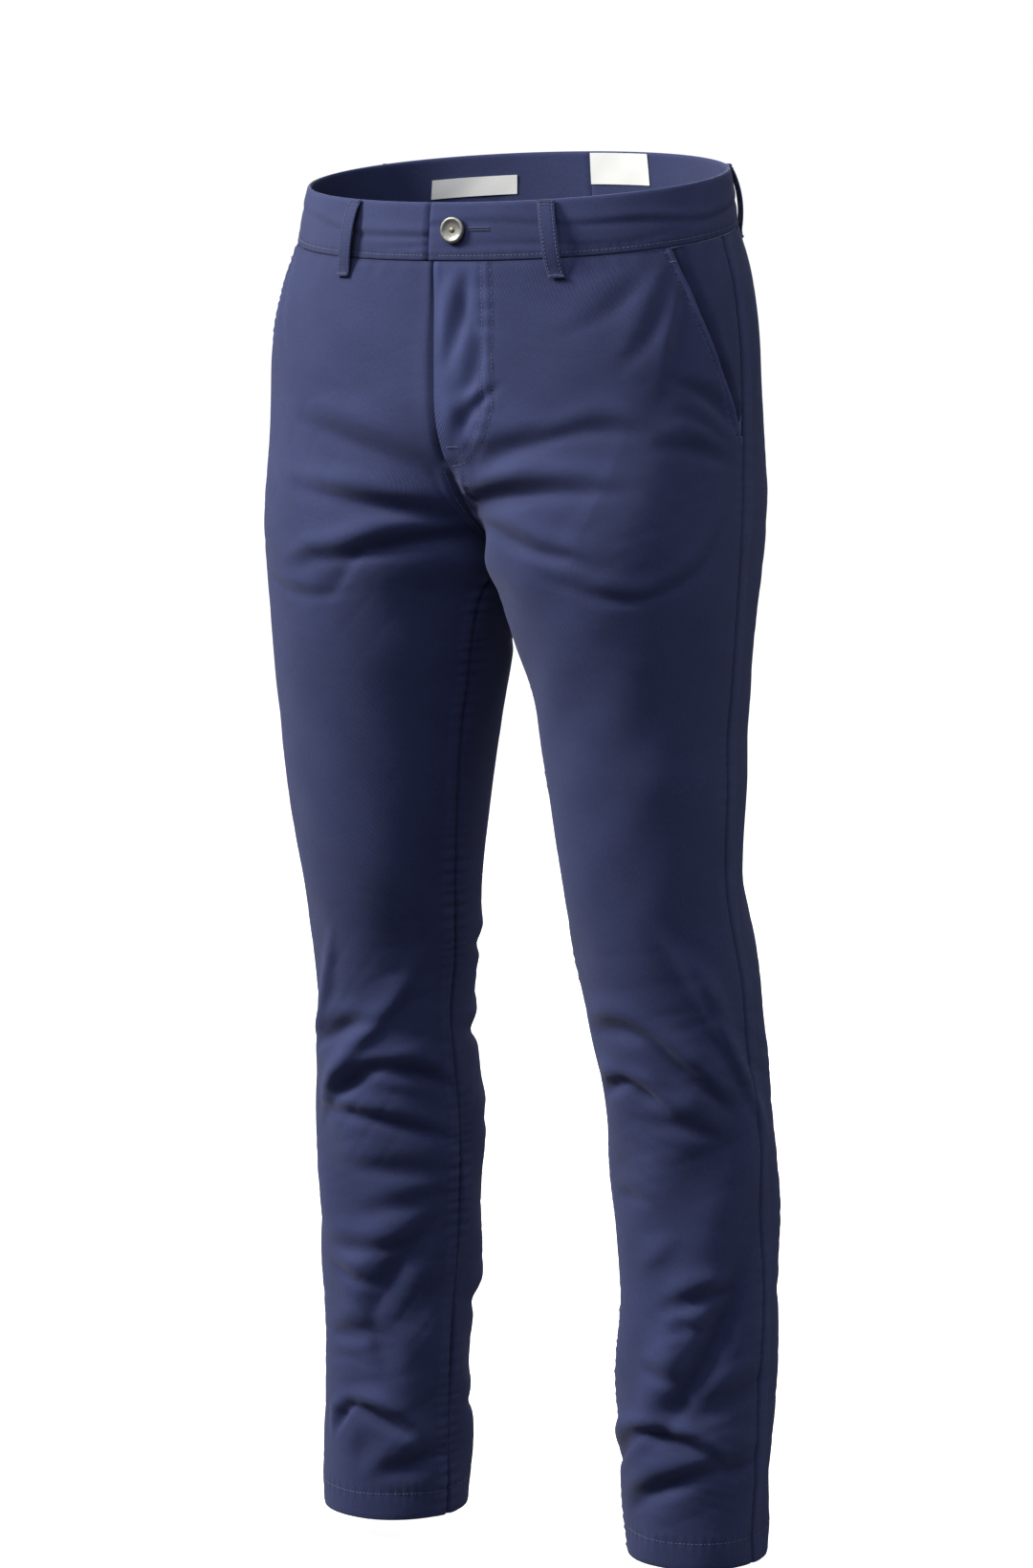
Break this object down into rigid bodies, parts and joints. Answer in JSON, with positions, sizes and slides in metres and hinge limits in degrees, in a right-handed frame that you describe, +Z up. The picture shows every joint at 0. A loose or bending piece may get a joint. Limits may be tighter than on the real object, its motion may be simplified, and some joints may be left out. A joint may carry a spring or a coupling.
{
  "type": "chino trousers",
  "caption": "Slim straight chino trousers in navy cotton twill, filled out to the hollow form they take when worn, with belt loops and slant pockets.",
  "frame": {"origin": "centre of the waist opening, level with the waistband's top edge at the side seams", "axes": "+Z up, the front faces -Y, +X towards the wearer's left"},
  "size_m": [0.3768, 0.2404, 1.0157],
  "materials": {
    "cloth": "matte fine cotton twill with a faint sheen",
    "cloth_inside": "matte twill, wrong side",
    "metal": "brushed, antique silver",
    "label": "white woven satin"
  },
  "bodies": {
    "root": {"front_left_upper": "cloth", "front_left_lower": "cloth", "back_left_upper": "cloth", "back_left_lower": "cloth", "front_right_upper": "cloth", "front_right_lower": "cloth", "back_right_upper": "cloth", "back_right_lower": "cloth", "pocket_facing_left": "cloth", "pocket_facing_right": "cloth", "waistband_left": "cloth", "waistband_right": "cloth", "belt_loop_front_left": "cloth", "belt_loop_front_right": "cloth", "belt_loop_side_left": "cloth", "belt_loop_side_right": "cloth", "belt_loop_back": "cloth", "hem_left": "cloth_inside", "hem_right": "cloth_inside", "button": "metal", "label_brand_blank": "label", "label_size_blank": "label"}
  },
  "joints": []
}
